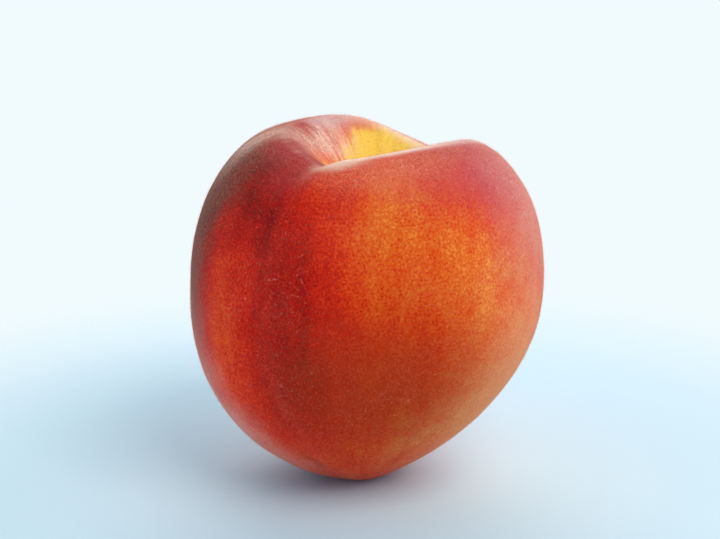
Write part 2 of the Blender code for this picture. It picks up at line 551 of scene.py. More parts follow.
class Effects:
    """The effects that the skin's finish places again and again.

    `SMALLEST_FRECKLE` is added to each freckle's drawn share of the full size, and `FRECKLE_CORE` is
    the share of a freckle that is solid. `STRAND_SWIRL` and `STRAND_LEAN` say how often and how far
    the strands bend, `STRETCHES` how they are drawn out in their three directions, and `STRAND_EDGE`
    from what strength on they show.
    """

    SMALLEST_FRECKLE = 0.25
    FRECKLE_CORE = 0.4
    STREAK_GRAIN = Grain(1.0, 3.0, 0.55)
    STRAND_SWIRL = 0.25
    STRAND_LEAN = (5.0, 5.0, 5.0)
    STRETCHES = ((1.0, 0.22, 0.5), (0.25, 1.0, 0.3), (0.5, 0.3, 1.0))
    STRAND_EDGE = (0.5, 0.8)

    def __init__(self) -> None:
        """Build every group once."""
        self.bearings = self._bearings()
        self.patch = self._patch()
        self.freckles = self._freckles()
        self.streaks = self._streaks()
        self.strands = self._strands()

    @staticmethod
    def _bearings() -> bpy.types.NodeTree:
        """Where a place lies: its angle round the axis, its way from it, and its direction.

        Returns:
            The group.
        """
        effect = Effect(
            "Bearings",
            {"Place": "Vector"},
            {"Angle": "Float", "Radius": "Float", "Direction": "Vector"},
        )
        w = effect.wiring
        parts = w.add("SeparateXYZ", {}, {0: effect.read("Place")})
        flat = w.combine(parts.outputs[0], parts.outputs[1], 0.0)
        effect.give("Angle", w.math("ARCTAN2", parts.outputs[1], parts.outputs[0]))
        effect.give("Radius", w.vector("LENGTH", flat))
        effect.give("Direction", w.vector("NORMALIZE", flat))
        return effect.tree

    @staticmethod
    def _patch() -> bpy.types.NodeTree:
        """An oval patch on the skin, 1 in its middle, with a soft and wandering edge.

        Returns:
            The group.
        """
        numbers = "Angle Radius Down Side Depth Across Along Tilt Softness Wander".split()
        effect = Effect("Patch", dict.fromkeys(numbers, "Float"), {"Mask": "Float"})
        w = effect.wiring
        side = w.math("RADIANS", effect.read("Side"))
        turn = w.math("WRAP", w.math("SUBTRACT", effect.read("Angle"), side), math.pi, -math.pi)
        across = w.math("MULTIPLY", turn, effect.read("Radius"))
        along = w.math("SUBTRACT", effect.read("Down"), effect.read("Depth"))
        offset = w.combine(across, along, 0.0)
        tilt = w.math("RADIANS", effect.read("Tilt"))
        turned = w.add("VectorRotate", {"rotation_type": "Z_AXIS"}, {"Vector": offset, "Angle": tilt})
        reach = w.combine(effect.read("Across"), effect.read("Along"), 1.0)
        far = w.vector("LENGTH", w.vector("DIVIDE", turned.outputs[0], reach))
        edge = w.math("ADD", far, effect.read("Wander"))
        inner = w.math("SUBTRACT", 1.0, effect.read("Softness"))
        outer = w.math("ADD", 1.0, effect.read("Softness"))
        effect.give("Mask", w.ease(edge, inner, outer, 1.0, 0.0))
        return effect.tree

    @classmethod
    def _freckles(cls) -> bpy.types.NodeTree:
        """Small round dots of uneven size, strewn over the skin.

        Returns:
            The group.
        """
        inputs = {"Place": "Vector", "Spacing": "Float", "Size": "Float"}
        effect = Effect("Freckles", inputs, {"Mask": "Float"})
        w = effect.wiring
        scale = w.math("DIVIDE", 1.0, effect.read("Spacing"))
        cells = w.add("TexVoronoi", {"feature": "F1"}, {"Vector": effect.read("Place"), "Scale": scale})
        parts = w.add("SeparateColor", {}, {0: cells.outputs["Color"]})
        share = w.math("ADD", parts.outputs[0], cls.SMALLEST_FRECKLE)
        size = w.math("MULTIPLY", effect.read("Size"), share)
        inner = w.math("MULTIPLY", size, cls.FRECKLE_CORE)
        effect.give("Mask", w.ease(cells.outputs["Distance"], inner, size, 1.0, 0.0))
        return effect.tree

    @classmethod
    def _streaks(cls) -> bpy.types.NodeTree:
        """Faint streaks that run from the crest down to the tip, from 0 to 1.

        Returns:
            The group.
        """
        inputs = {"Direction": "Vector", "Down": "Float", "Fineness": "Float", "Length": "Float"}
        effect = Effect("Streaks", inputs, {"Value": "Float"})
        w = effect.wiring
        inputs = {0: effect.read("Direction"), "Scale": effect.read("Fineness")}
        round_axis = w.add("VectorMath", {"operation": "SCALE"}, inputs).outputs["Vector"]
        along = w.math("DIVIDE", effect.read("Down"), effect.read("Length"))
        place = w.vector("ADD", round_axis, w.combine(0.0, 0.0, along))
        effect.give("Value", w.noise(place, cls.STREAK_GRAIN))
        return effect.tree

    @classmethod
    def _strands(cls) -> bpy.types.NodeTree:
        """Short fine strokes that cross each other, as matted down lies, from 0 to 1.

        Returns:
            The group.
        """
        effect = Effect("Strands", {"Place": "Vector", "Width": "Float"}, {"Value": "Float"})
        w = effect.wiring
        inputs = {"Vector": effect.read("Place"), "Scale": cls.STRAND_SWIRL, "Detail": 1.0}
        swirl = w.add("TexNoise", {}, inputs).outputs["Color"]
        bent = w.vector("ADD", effect.read("Place"), w.vector("MULTIPLY", swirl, cls.STRAND_LEAN))
        scale = w.math("DIVIDE", 1.0, effect.read("Width"))
        strokes = []
        for stretch in cls.STRETCHES:
            place = w.vector("MULTIPLY", bent, stretch)
            inputs = {"Vector": place, "Scale": scale, "Detail": 1.0}
            strokes.append(w.add("TexNoise", {}, inputs).outputs["Fac"])
        highest = w.math("MAXIMUM", w.math("MAXIMUM", strokes[0], strokes[1]), strokes[2])
        effect.give("Value", w.ease(highest, *cls.STRAND_EDGE))
        return effect.tree


# ---------------------------------------------------------------------------------------- the finish


@dataclass(frozen=True)
class Patch:
    """An oval patch on the skin, and how much of something it adds in its middle.

    `across` and `along` are how far it reaches round the fruit and down it, in millimetres. A patch
    with a softness of 1 fades all the way from its middle. `wander` is how far its edge strays.
    """

    side: float
    depth: float
    across: float
    along: float
    amount: float
    tilt: float = 0.0
    softness: float = 0.8
    wander: float = 0.5


@dataclass(frozen=True)
class Wash:
    """A colour laid over the blush in a few patches.

    `strand_share` is how far it gathers in the matted strands of down, and `streak_share` how far it
    gathers in the fine streaks that run from the crest.
    """

    colour: Colour
    patches: tuple[Patch, ...]
    strand_share: float = 0.0
    streak_share: float = 0.0


@dataclass(frozen=True)
class Streaks:
    """Streaks that run down the fruit: how fine they are round it, and how long in millimetres."""

    fineness: float
    length: float


class SkinSurface:
    """What the skin's material reads at a point, and the patterns that it is made of."""

    WANDER_GRAIN = Grain(7.0, 3.0, 0.6)

    def __init__(self, wiring: Wiring, effects: Effects) -> None:
        """Read the skin's own coordinates.

        Args:
            wiring: The material's wiring.
            effects: The node groups that it places.
        """
        self.wiring = wiring
        self.effects = effects
        self.place = wiring.attribute("place", "Vector")
        self.down = wiring.attribute("down", "Fac")
        self.groove = wiring.attribute("groove", "Fac")
        bearings = wiring.group(effects.bearings, {"Place": self.place})
        self.angle = bearings["Angle"]
        self.radius = bearings["Radius"]
        self.direction = bearings["Direction"]
        self.wander = wiring.swing(self.noise(self.WANDER_GRAIN))

    def noise(self, grain: Grain) -> Any:
        """Cloudy noise over the skin, its grain in millimetres."""
        return self.wiring.noise(self.place, grain)

    def matted(self, width: float) -> Any:
        """Matted strands of down of a width in millimetres."""
        inputs = {"Place": self.place, "Width": width}
        return self.wiring.group(self.effects.strands, inputs)[0]

    def dotted(self, spacing: float, size: float) -> Any:
        """Freckles at a spacing in millimetres, of a size in shares of it."""
        inputs = {"Place": self.place, "Spacing": spacing, "Size": size}
        return self.wiring.group(self.effects.freckles, inputs)[0]

    def streaked(self, streaks: Streaks) -> Any:
        """The streaks down the fruit.

        Args:
            streaks: How fine and how long they are.

        Returns:
            Their strength, from 0 to 1.
        """
        inputs = {
            "Direction": self.direction,
            "Down": self.down,
            "Fineness": streaks.fineness,
            "Length": streaks.length,
        }
        return self.wiring.group(self.effects.streaks, inputs)[0]

    def total(self, patches: tuple[Patch, ...], start: float, fray: Any = 0.0) -> Any:
        """The sum of what the patches add to a starting amount.

        Args:
            patches: The patches.
            start: The amount where there is no patch.
            fray: How much further the patches' edges stray, over and above their own wandering.

        Returns:
            The amount at each point.
        """
        w = self.wiring
        total: Any = start
        for patch in patches:
            mask = w.group(
                self.effects.patch,
                {
                    "Angle": self.angle,
                    "Radius": self.radius,
                    "Down": self.down,
                    "Side": patch.side,
                    "Depth": patch.depth,
                    "Across": patch.across,
                    "Along": patch.along,
                    "Tilt": patch.tilt,
                    "Softness": patch.softness,
                    "Wander": w.math("MULTIPLY_ADD", self.wander, patch.wander, fray),
                },
            )
            total = w.math("MULTIPLY_ADD", mask[0], patch.amount, total)
        return total


@dataclass(frozen=True)
class SkinFinish:
    """The colours of the skin, where its blush and its washes lie, and how its surface looks.

    A field ending in `edge` holds the two values of a pattern between which it goes from nothing to
    full, and one ending in `blush` how much a pattern adds to the blush. A share of 1 hides what
    lies under it.
    """

    base_blush: float = 0.62
    blush_colours: tuple[tuple[float, Colour], ...] = (
        (0.00, tone(252, 216, 92)),
        (0.18, tone(243, 152, 58)),
        (0.34, tone(230, 104, 28)),
        (0.48, tone(226, 64, 8)),
        (0.60, tone(210, 32, 2)),
        (0.72, tone(188, 16, 0)),
        (0.86, tone(152, 12, 4)),
        (1.00, tone(112, 10, 12)),
    )
    blushes: tuple[Patch, ...] = (
        # The golden near cheek.
        Patch(side=57, depth=25, across=18, along=16, amount=-0.24),
        Patch(side=39, depth=13, across=13, along=9, amount=-0.10),
        Patch(side=92, depth=50, across=17, along=26, amount=-0.24),
        Patch(side=46, depth=76, across=26, along=12, amount=-0.12),
        Patch(side=62, depth=62, across=14, along=12, amount=-0.05),
        # The red band beside the suture, and the suture's broken dark line, which is painted shade in
        # its groove.
        Patch(side=17, depth=44, across=7, along=24, amount=0.14),
        Patch(side=-16, depth=38, across=7, along=14, amount=-0.14, wander=0.9),
        Patch(side=-8, depth=64, across=9, along=14, amount=-0.06),
        Patch(side=1, depth=18, across=4, along=8, amount=0.05),
        Patch(side=2, depth=42, across=7, along=30, amount=0.09),
        Patch(side=-10, depth=22, across=2.2, along=14, amount=0.08, tilt=-40),
        Patch(side=1, depth=20, across=1.7, along=3.8, amount=0.12, tilt=-15),
        Patch(side=17, depth=30, across=1.2, along=15, amount=0.08, tilt=3),
        # Redder blots on the near shoulder.
        Patch(side=74, depth=10, across=16, along=9, amount=0.07),
        Patch(side=28, depth=13, across=4, along=3.5, amount=0.10, wander=1.0),
        Patch(side=69, depth=3, across=8, along=3, amount=0.10),
        # The deep red far cheek: partly the skin's own maroon, partly painted shade on the side turned
        # away from the light.
        Patch(side=-62, depth=10, across=34, along=20, amount=0.29, softness=0.3, wander=0.5),
        Patch(side=-72, depth=34, across=33, along=22, amount=0.28, softness=0.3, wander=0.5),
        # The crest and the notch.
        Patch(side=-44, depth=-3, across=14, along=7, amount=-0.16),
        Patch(side=-16, depth=1, across=9, along=5, amount=0.10),
        Patch(side=-104, depth=-3, across=7, along=4, amount=-0.30),
        # The back, which turns golden again.
        Patch(side=180, depth=36, across=34, along=34, amount=-0.24),
        Patch(side=140, depth=16, across=18, along=14, amount=-0.12),
        Patch(side=-128, depth=50, across=18, along=30, amount=0.10),
    )
    bare_blush: float = 0.0
    bare_patches: tuple[Patch, ...] = (
        Patch(side=-148, depth=-10, across=12.5, along=9.2, amount=1.0, softness=0.3),
        Patch(side=0, depth=-21, across=60, along=9.5, amount=1.0, softness=0.3),
        Patch(side=60, depth=-10, across=22, along=7, amount=0.8, softness=0.5),
        Patch(side=-168, depth=-3, across=7, along=4, amount=0.9, softness=0.4),
    )
    bare_streaks: Streaks = Streaks(16.0, 14.0)
    bare_fray: float = 0.6
    bare_calm: float = 0.6
    washes: tuple[Wash, ...] = (
        # Burnt orange low on the near cheek: partly the skin's own tone, partly painted shade where the
        # lower front turns from the light.
        Wash(
            tone(178, 56, 8),
            (Patch(side=46, depth=52, across=17, along=16, amount=0.60),),
        ),
        # Rose on the shoulders.
        Wash(
            tone(190, 76, 84),
            (
                Patch(side=78, depth=6, across=18, along=9, amount=0.8),
                Patch(side=0, depth=6, across=5, along=6, amount=0.35),
                Patch(side=92, depth=16, across=10, along=14, amount=0.35),
                Patch(side=-150, depth=10, across=26, along=9, amount=0.5),
            ),
            strand_share=0.3,
        ),
        # Dusty pink bloom round the flanks: partly paler skin, partly painted sheen of the down where
        # the fruit's left and right edges turn away from the front.
        Wash(
            tone(208, 152, 142),
            (
                Patch(side=118, depth=38, across=17, along=36, amount=0.48, softness=1.0, wander=1.0),
                Patch(side=110, depth=12, across=14, along=14, amount=0.50),
                Patch(side=-46, depth=58, across=11, along=20, amount=0.75, softness=1.0, wander=0.9),
                Patch(side=-26, depth=74, across=8, along=12, amount=0.55, softness=1.0, wander=0.9),
            ),
            strand_share=0.5,
        ),
        # Umber on the far cheek, close to the suture: partly greyed down over dark skin, partly painted
        # shade on the side turned away from the light.
        Wash(
            tone(118, 84, 66),
            (
                Patch(side=-26, depth=10, across=8, along=10, amount=0.5),
                Patch(side=-40, depth=14, across=9, along=18, amount=0.65),
                Patch(side=-37, depth=31, across=7, along=16, amount=0.5),
                Patch(side=-32, depth=44, across=4, along=12, amount=0.3),
            ),
            strand_share=0.9,
        ),
        # Pale amber low beyond the near cheek: partly the skin's own tone, partly painted light thrown
        # up from the table.
        Wash(
            tone(236, 172, 104),
            (Patch(side=97, depth=56, across=9, along=18, amount=0.5, softness=1.0),),
            strand_share=0.4,
        ),
        # Green gold round the scar.
        Wash(
            tone(206, 190, 84),
            (Patch(side=0, depth=-25, across=60, along=5, amount=0.5, softness=0.9),),
        ),
        # Crimson beside the notch.
        Wash(
            tone(166, 26, 42),
            (
                Patch(side=-14, depth=1.5, across=9, along=4.5, amount=0.85, wander=0.9),
                Patch(side=-72, depth=-1, across=8, along=2.6, amount=0.7, wander=0.9),
            ),
        ),
        # Pale streaks over the far crest.
        Wash(
            tone(236, 204, 186),
            (
                Patch(side=-78, depth=-6, across=5, along=5.5, amount=0.95, softness=0.5),
                Patch(side=-54, depth=-7, across=6, along=4, amount=0.6),
                Patch(side=-40, depth=4, across=4, along=9, amount=0.7, softness=1.0, wander=1.0),
                Patch(side=-26, depth=-5, across=8, along=3, amount=0.35, softness=0.9),
            ),
            strand_share=0.5,
            streak_share=0.5,
        ),
        # An orange blot on the far crest.
        Wash(
            tone(222, 104, 60),
            (Patch(side=-112, depth=-2.2, across=3.6, along=1.7, amount=0.85),),
        ),
        # Cream along the near crest: partly pale skin and down, partly painted sheen of the down seen
        # edge-on against the light.
        Wash(
            tone(248, 228, 204),
            (
                Patch(side=18, depth=2.6, across=5, along=3.0, amount=0.9, softness=0.6),
                Patch(side=36, depth=0.6, across=8, along=1.6, amount=0.8, softness=0.6),
                Patch(side=54, depth=0.4, across=8, along=1.1, amount=0.7, softness=0.7),
                Patch(side=-156, depth=-0.3, across=16, along=2.0, amount=0.65, wander=0.7),
            ),
            strand_share=0.3,
        ),
        # Lilac bloom farther along the crest: partly pale down, partly painted sheen of the down seen
        # edge-on against the light.
        Wash(
            tone(230, 200, 198),
            (
                Patch(side=68, depth=0.5, across=15, along=1.6, amount=0.6, wander=0.8),
                Patch(side=-90, depth=-1.6, across=5, along=2.4, amount=0.8),
                Patch(side=130, depth=0.4, across=14, along=1.8, amount=0.35, softness=1.0, wander=0.9),
            ),
            strand_share=0.4,
        ),
        # Peach-coloured fuzz under the near crest.
        Wash(
            tone(236, 150, 116),
            (
                Patch(side=38, depth=5.5, across=14, along=5, amount=0.5),
                Patch(side=28, depth=16, across=8, along=8, amount=0.06),
            ),
            strand_share=0.6,
        ),
    )
    wash_streaks: Streaks = Streaks(20.0, 6.0)
    wash_streak_edge: Step = (0.34, 0.66)
    strand_width: float = 0.18
    fuzz_colour: Colour = tone(232, 146, 110)
    fuzz_share: float = 0.10
    fuzz_grain: Grain = Grain(9.0, 3.0, 0.6)
    fuzz_edge: Step = (0.35, 0.7)
    wisp_colour: Colour = tone(240, 172, 150)
    wisp_share: float = 0.22
    wisp_width: float = 0.34
    wisp_edge: Step = (0.7, 1.0)
    wisp_grain: Grain = Grain(11.0, 2.0, 0.5)
    wisp_grain_edge: Step = (0.47, 0.6)
    # The pale crest: partly paler skin and down, partly painted sheen of the down seen edge-on.
    pale_crest_and_sheen_colour: Colour = tone(240, 214, 190)
    pale_crest_and_sheen_share: float = 0.14
    crest_middle: float = 0.6
    crest_reach: Step = (0.2, 1.8)
    crest_streaks: Streaks = Streaks(26.0, 5.0)
    crest_streak_edge: Step = (0.35, 0.6)
    crest_least: float = 0.3
    # Painted shade: the broken dark line in the suture's groove.
    groove_shade_colour: Colour = tone(130, 10, 12)
    groove_shade_share: float = 0.4
    groove_narrowing: float = 3.0
    groove_grain: Grain = Grain(5.0, 2.0, 0.6)
    groove_grain_edge: Step = (0.48, 0.7)
    cork_light: Colour = tone(170, 120, 70)
    cork_dark: Colour = tone(80, 46, 26)
    cork_grain: Grain = Grain(0.5, 4.0, 0.7)
    cork_reach: Step = (2.4, 3.6)
    cork_raggedness: float = 2.0
    freckle_spacing: float = 0.6
    freckle_size: float = 0.5
    freckle_blush: float = 0.11
    freckle_dimple: float = -0.5
    strand_ridge: float = 0.5
    streaks: Streaks = Streaks(9.0, 30.0)
    streak_blush: float = 0.22
    cloud_grain: Grain = Grain(14.0, 2.0, 0.5)
    cloud_blush: float = 0.14
    mottle_grain: Grain = Grain(4.0, 3.0, 0.6)
    mottle_blush: float = 0.18
    fine_grain: Grain = Grain(0.5, 1.0, 0.5)
    fine_blush: float = 0.42
    roughness: float = 0.62
    roughness_swing: float = 0.20
    roughness_grain: Grain = Grain(1.5, 3.0, 0.6)
    bump_grain: Grain = Grain(0.25, 2.0, 0.6)
    bump_strength: float = 0.5
    bump_depth: float = 0.00006
    sheen: float = 0.10
    sheen_roughness: float = 0.30
    sheen_tint: Colour = tone(255, 215, 195)
    specular: float = 0.08
    subsurface: float = 0.10
    subsurface_reach: float = 0.0012
    subsurface_colours: tuple[float, float, float] = (1.0, 0.35, 0.15)

    def material(self, effects: Effects) -> bpy.types.Material:
        """The skin's material.

        Args:
            effects: The node groups that it places.

        Returns:
            The material, with its nodes linked.
        """
        material, shader = new_material("peach_skin")
        w = Wiring(material.node_tree)
        surface = SkinSurface(w, effects)
        strands = surface.matted(self.strand_width)
        freckles = surface.dotted(self.freckle_spacing, self.freckle_size)
        colour = self.blushed(surface, freckles)
        colour = self.washed(surface, strands, colour)
        colour = self.furred(surface, strands, colour)
        colour = self.marked(surface, colour)
        rough = w.swing(surface.noise(self.roughness_grain))
        varied = {
            "Base Color": colour,
            "Roughness": w.math("MULTIPLY_ADD", rough, self.roughness_swing, self.roughness),
            "Normal": self.bumped(surface, strands, freckles),
        }
        for name, value in varied.items():
            w.tree.links.new(value, shader.inputs[name])
        constants = {
            "Sheen Weight": self.sheen,
            "Sheen Roughness": self.sheen_roughness,
            "Sheen Tint": self.sheen_tint,
            "Specular IOR Level": self.specular,
            "Subsurface Weight": self.subsurface,
            "Subsurface Radius": self.subsurface_colours,
            "Subsurface Scale": self.subsurface_reach,
        }
        for name, value in constants.items():
            shader.inputs[name].default_value = value
        return material

    def blushed(self, surface: SkinSurface, freckles: Any) -> Any:
        """The colour that the blush alone gives.

        Args:
            surface: What the material reads.
            freckles: The freckles' mask.

        Returns:
            The colour at each point.
        """
        w = surface.wiring
        blush = surface.total(self.blushes, self.base_blush)
        fray = w.math("MULTIPLY", w.swing(surface.streaked(self.bare_streaks)), self.bare_fray)
        bare = w.math("MINIMUM", surface.total(self.bare_patches, 0.0, fray), 1.0)
        blush = w.math("MULTIPLY_ADD", bare, w.math("SUBTRACT", self.bare_blush, blush), blush)
        calm = w.math("MULTIPLY_ADD", bare, -self.bare_calm, 1.0)
        for pattern, amount in (
            (surface.streaked(self.streaks), self.streak_blush),
            (surface.noise(self.cloud_grain), self.cloud_blush),
            (surface.noise(self.mottle_grain), self.mottle_blush),
            (surface.noise(self.fine_grain), self.fine_blush),
        ):
            swing = w.math("MULTIPLY", w.swing(pattern), calm)
            blush = w.math("MULTIPLY_ADD", swing, amount, blush)
        dots = w.math("MULTIPLY", freckles, calm)
        blush = w.math("MULTIPLY_ADD", dots, self.freckle_blush, blush)
        return w.ramp(blush, self.blush_colours)

    def washed(self, surface: SkinSurface, strands: Any, colour: Any) -> Any:
        """The colour with every wash laid over it in turn.

        Args:
            surface: What the material reads.
            strands: The matted strands of down.
            colour: The colour under the washes.

        Returns:
            The colour at each point.
        """
        w = surface.wiring
        streaks = surface.streaked(self.wash_streaks)
        for wash in self.washes:
            share = surface.total(wash.patches, 0.0)
            if wash.strand_share:
                thin = w.ease(strands, 0.0, 1.0, 1.0 - wash.strand_share, 1.0 + wash.strand_share)
                share = w.math("MULTIPLY", share, thin)
            if wash.streak_share:
                thin = w.ease(streaks, *self.wash_streak_edge, 1.0 - wash.streak_share, 1.0)
                share = w.math("MULTIPLY", share, thin)
            colour = w.mix(share, colour, wash.colour)
        return colour

    def furred(self, surface: SkinSurface, strands: Any, colour: Any) -> Any:
        """The colour under the matted fuzz and the strewn wisps of lint.

        Args:
            surface: What the material reads.
            strands: The matted strands of down.
            colour: The colour under them.

        Returns:
            The colour at each point.
        """
        w = surface.wiring
        thick = w.ease(surface.noise(self.fuzz_grain), *self.fuzz_edge, 0.0, self.fuzz_share)
        colour = w.mix(w.math("MULTIPLY", strands, thick), colour, self.fuzz_colour)
        wisps = w.ease(surface.matted(self.wisp_width), *self.wisp_edge, 0.0, self.wisp_share)
        strewn = w.ease(surface.noise(self.wisp_grain), *self.wisp_grain_edge)
        return w.mix(w.math("MULTIPLY", wisps, strewn), colour, self.wisp_colour)

    def marked(self, surface: SkinSurface, colour: Any) -> Any:
        """The colour with a broken line of painted shade along the suture's groove, the pale crest,
        partly painted sheen, and the scar on it.

        Args:
            surface: What the material reads.
            colour: The colour under the marks.

        Returns:
            The colour at each point.
        """
        w = surface.wiring
        # Painted shade: a broken dark line where the suture's groove sinks.
        dashes = surface.noise(self.groove_grain)
        dashes = w.ease(dashes, *self.groove_grain_edge, 0.0, self.groove_shade_share)
        line = w.math("POWER", surface.groove, self.groove_narrowing)
        colour = w.mix(w.math("MULTIPLY", line, dashes), colour, self.groove_shade_colour)
        # A pale band along the crest: partly paler skin and down, partly painted sheen of its down.
        from_crest = w.math("ABSOLUTE", w.math("SUBTRACT", surface.down, self.crest_middle))
        crest = w.ease(from_crest, *self.crest_reach, self.pale_crest_and_sheen_share, 0.0)
        streaks = surface.streaked(self.crest_streaks)
        broken = w.ease(streaks, *self.crest_streak_edge, self.crest_least, 1.0)
        colour = w.mix(w.math("MULTIPLY", crest, broken), colour, self.pale_crest_and_sheen_colour)
        cork = w.mix(surface.noise(self.cork_grain), self.cork_dark, self.cork_light)
        ragged = w.math("MULTIPLY_ADD", surface.wander, self.cork_raggedness, surface.radius)
        in_cavity = w.math("LESS_THAN", surface.down, 0.0)
        scar = w.math("MULTIPLY", w.ease(ragged, *self.cork_reach, 1.0, 0.0), in_cavity)
        return w.mix(scar, colour, cork)

    def bumped(self, surface: SkinSurface, strands: Any, freckles: Any) -> Any:
        """The normal over the freckles' dimples, the matted strands and the fine grain.

        Args:
            surface: What the material reads.
            strands: The matted strands of down.
            freckles: The freckles' mask.

        Returns:
            The normal at each point.
        """
        w = surface.wiring
        grain = surface.noise(self.bump_grain)
        height = w.math("MULTIPLY_ADD", freckles, self.freckle_dimple, grain)
        height = w.math("MULTIPLY_ADD", strands, self.strand_ridge, height)
        inputs = {"Strength": self.bump_strength, "Distance": self.bump_depth, "Height": height}
        return w.add("Bump", {}, inputs).outputs[0]


@dataclass(frozen=True)
class DownFinish:
    """The look of the hairs: pale, dull and a little see-through by their fineness alone."""

    colour: Colour = tone(228, 146, 108)
    roughness: float = 0.75
    specular: float = 0.3

    def material(self, name: str) -> bpy.types.Material:
        """The hairs' material.

        Args:
            name: The material's name.

        Returns:
            The material.
        """
        material, shader = new_material(name)
        shader.inputs["Base Color"].default_value = self.colour
        shader.inputs["Roughness"].default_value = self.roughness
        shader.inputs["Specular IOR Level"].default_value = self.specular
        return material


# ------------------------------------------------------------------------------------------ the skin


@dataclass(frozen=True)
class Layout:
    """Where the parts of the skin lie when it is laid out flat in a square, in millimetres."""

    side: float = 176.0
    strip_width: float = 114.0
    first_strip: float = 4.0
    second_strip: float = 88.0
    cavity_middle: tuple[float, float] = (146.5, 32.0)
    tip_middle: tuple[float, float] = (146.5, 100.0)
    tip_reach: float = 20.0


@dataclass
class Skin:
    """The whole skin of the peach, in one closed mesh.

    `columns` run down it and `steps` are the rings of its cavity, shoulder and flank. `uneven` holds
    the size of each waviness in millimetres and its height. `sway` is how far the puckers and the
    scar's fibres wind, and the fibres' middle and reach are shares of the scar's radius.
    """

    fruit: Fruit
    layout: Layout = Layout()
    columns: int = 384
    crowding: float = 0.3
    steps: tuple[int, int, int] = (75, 50, 110)
    uneven: tuple[tuple[float, float], ...] = ((9.0, 0.00012), (3.2, 0.00004))
    pucker_counts: tuple[int, ...] = (13, 21)
    pucker_rise: float = 0.00006
    pucker_middle: float = -5.0
    pucker_reach: float = 5.0
    sway: float = 3.0
    fibre_count: int = 29
    fibre_rise: float = 0.00012
    fibre_sway: float = 2.0
    fibre_middle: float = 0.8
    fibre_reach: float = 0.5
    spot_softness: float = 0.00025
    groove: Array = field(init=False)
    down: Array = field(init=False)
    place: Array = field(init=False)
    points: Array = field(init=False)
    normals: Array = field(init=False)

    def angles(self) -> Array:
        """The angle of each column from the suture, from -pi to pi, crowded near the suture."""
        even = math.pi * (2 * np.arange(self.columns) / self.columns - 1)
        return even - self.crowding * np.sin(even)

    def make(self) -> None:
        """Work out the points, their normals and what the finish reads at each of them."""
        around = self.angles()
        upright, self.groove = self.fruit.points(around, self.steps)
        self.down = self.way_down(upright)
        upright = upright + self.relief(upright, around)[..., None] * self.normals_of(upright)
        self.place = upright * MILLIMETRES
        self.points = self.stand(upright)
        self.normals = self.normals_of(self.points)

    def way_down(self, points: Array) -> Array:
        """How far each point lies down its column from the crest.

        Args:
            points: The points of every ring.

        Returns:
            The way down in millimetres, less than nothing inside the cavity.
        """
        steps = np.linalg.norm(np.diff(points, axis=0), axis=-1) * MILLIMETRES
        from_floor = np.concatenate([np.zeros((1, self.columns)), np.cumsum(steps, axis=0)])
        return from_floor - from_floor[self.steps[0]]

    @staticmethod
    def normals_of(points: Array) -> Array:
        """The normals of a grid that closes round its columns.

        Args:
            points: The points of every ring.

        Returns:
            The outward normal at each of them.
        """
        along = np.gradient(points, axis=0)
        across = np.roll(points, -1, axis=1) - np.roll(points, 1, axis=1)
        return unit(np.cross(along, across))

    def relief(self, points: Array, around: Array) -> Array:
        """How far the fine relief stands out.

        Args:
            points: The points of every ring, round the upright axis.
            around: The direction of each column.

        Returns:
            The rise at each point, in metres.
        """
        places = points.reshape(-1, 3) * MILLIMETRES
        rise = np.zeros(len(places))
        for size, height in self.uneven:
            rise += height * np.array([noise.noise(Vector(place / size)) for place in places])
        rise = rise.reshape(self.down.shape)
        sway = self.sway * rise / self.uneven[0][1]
        puckers = sum(np.cos(count * around + sway) for count in self.pucker_counts)
        rise += self.pucker_rise * puckers * bell(self.down - self.pucker_middle, self.pucker_reach)
        radius = np.linalg.norm(points[..., :2], axis=-1)
        scar_radius = self.fruit.scar_radius
        scar = bell(radius - scar_radius * self.fibre_middle, scar_radius * self.fibre_reach)
        fibres = np.cos(self.fibre_count * around + self.fibre_sway * sway)
        in_cavity = self.down < 0
        rise += self.fibre_rise * fibres * scar * in_cavity
        return rise

    def stand(self, upright: Array) -> Array:
        """Stand the fruit up: turned, leaned, lined up with its solid and flat below.

        Args:
            upright: The points round the upright axis.

        Returns:
            The points as they stand.
        """
        points = upright @ np.array(self.fruit.stance()).T
        low, high = (np.array(corner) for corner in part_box("peach"))
        corners = points.reshape(-1, 3)
        shift = (low + high - corners.min(axis=0) - corners.max(axis=0)) / 2
        shift[2] = high[2] - corners[:, 2].max()
        points = points + shift
        height = points[..., 2]
        points[..., 2] = (height + np.sqrt(height**2 + self.spot_softness**2)) / 2
        return points

    def build(self) -> bpy.types.Object:
        """Make the skin's mesh, with what the finish reads kept in it.

        Returns:
            The skin as a piece.
        """
        rings = len(self.points)
        index = np.arange(rings * self.columns).reshape(rings, self.columns)
        right = np.roll(index, -1, axis=1)
        quads = np.stack([index[:-1], index[1:], right[1:], right[:-1]], axis=-1).reshape(-1, 4)
        mesh = bpy.data.meshes.new("peach_skin")
        scar_middle = self.points[0].mean(axis=0)
        tip = self.points[-1].mean(axis=0)
        vertices = np.concatenate([self.points.reshape(-1, 3), [scar_middle, tip]])
        top, bottom = len(vertices) - 2, len(vertices) - 1
        caps = [(top, a, b) for a, b in zip(index[0], right[0])]
        caps += [(bottom, b, a) for a, b in zip(index[-1], right[-1])]
        faces = quads.tolist() + [tuple(map(int, cap)) for cap in caps]
        mesh.from_pydata(vertices.tolist(), [], faces)
        self.lay_flat(mesh)
        self.note(mesh, "place", "FLOAT_VECTOR", "vector", self.place)
        self.note(mesh, "down", "FLOAT", "value", self.down)
        self.note(mesh, "groove", "FLOAT", "value", self.groove)
        mesh.shade_smooth()
        return put("peach_skin", mesh)

